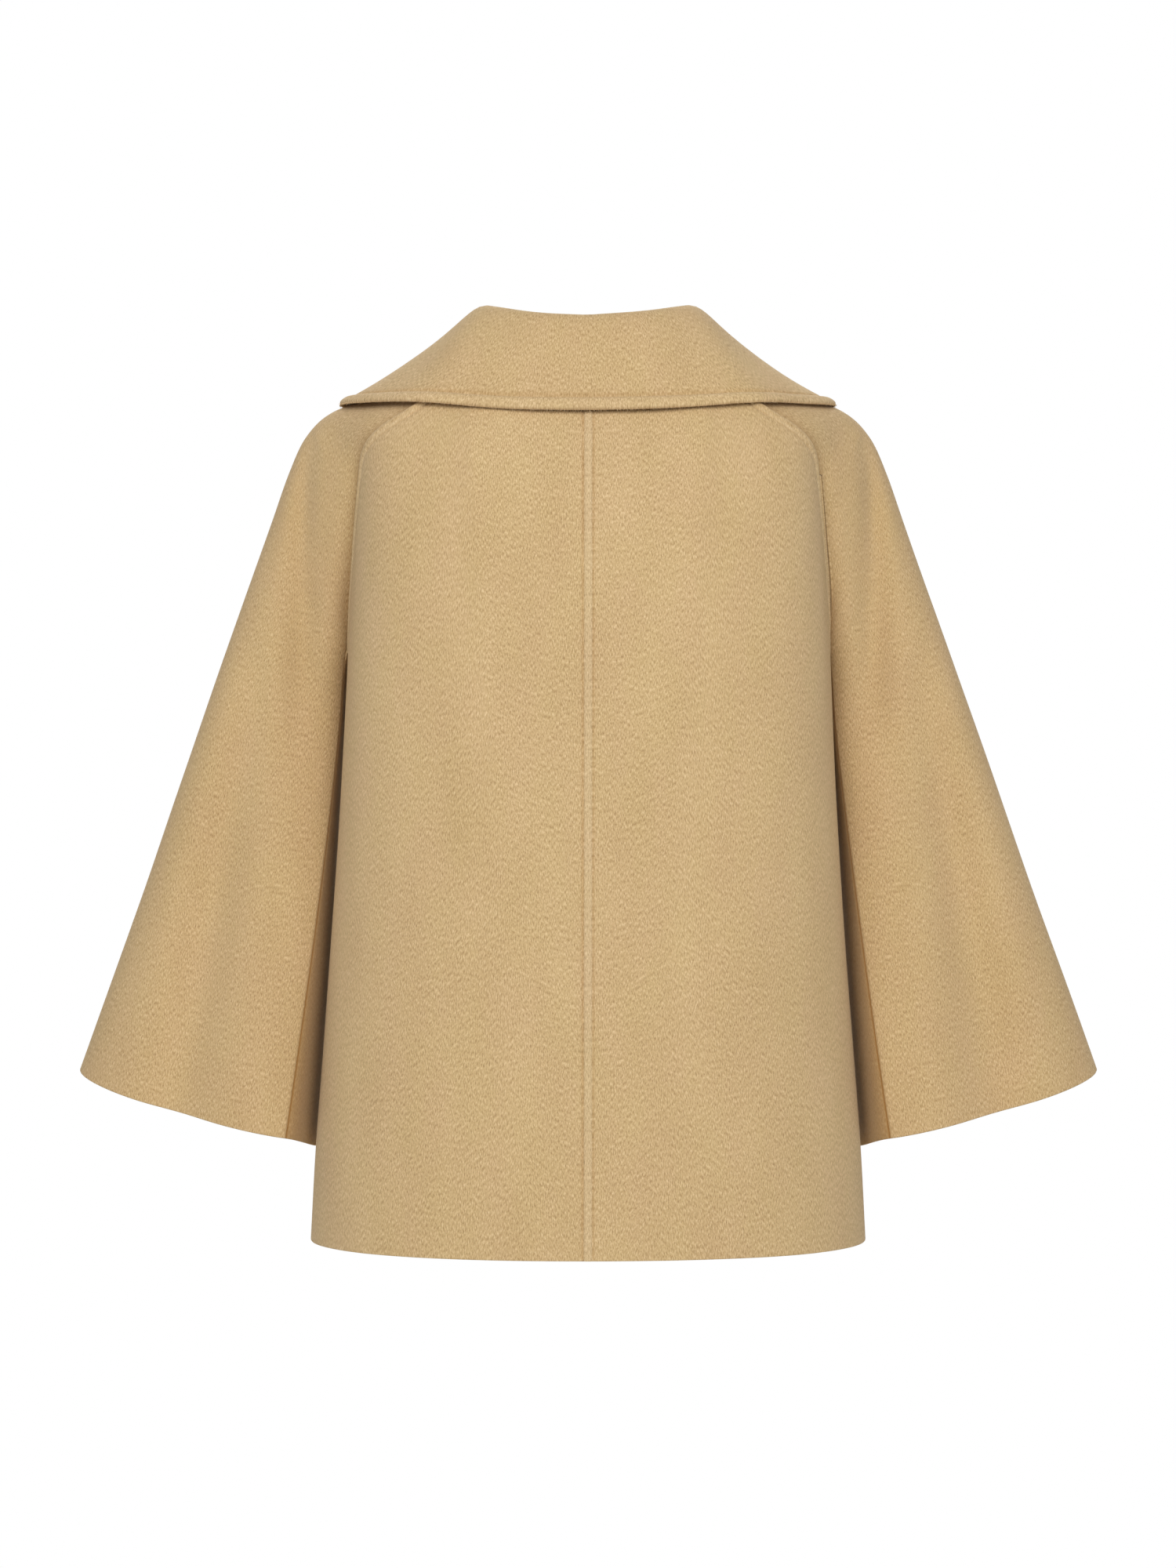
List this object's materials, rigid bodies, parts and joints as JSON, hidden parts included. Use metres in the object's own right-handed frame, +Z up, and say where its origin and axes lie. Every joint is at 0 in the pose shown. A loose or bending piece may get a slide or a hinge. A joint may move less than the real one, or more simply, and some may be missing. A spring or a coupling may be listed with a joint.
{
  "type": "short double-breasted swing jacket",
  "caption": "Short camel wool swing jacket with a wide turned-down collar, raglan bell sleeves and crossed buttoned fronts, filled out as worn.",
  "frame": {"origin": "between the wearer's shoulders, level with the sides of the neck", "axes": "+Z up; the jacket's back faces +Y and its front -Y; +X to the wearer's left"},
  "size_m": [0.7814, 0.2973, 0.7103],
  "materials": {
    "wool": "camel double-faced wool with a short brushed nap",
    "horn": "polished brown horn-like resin"
  },
  "bodies": {
    "root": {"back_left": "wool", "back_right": "wool", "front_left": "wool", "front_right": "wool", "sleeve_back_left": "wool", "sleeve_back_right": "wool", "sleeve_front_left": "wool", "sleeve_front_right": "wool", "collar": "wool", "button_top_left": "horn", "button_top_right": "horn", "button_middle_left": "horn", "button_middle_right": "horn", "button_lower_left": "horn", "button_lower_right": "horn"}
  },
  "joints": []
}
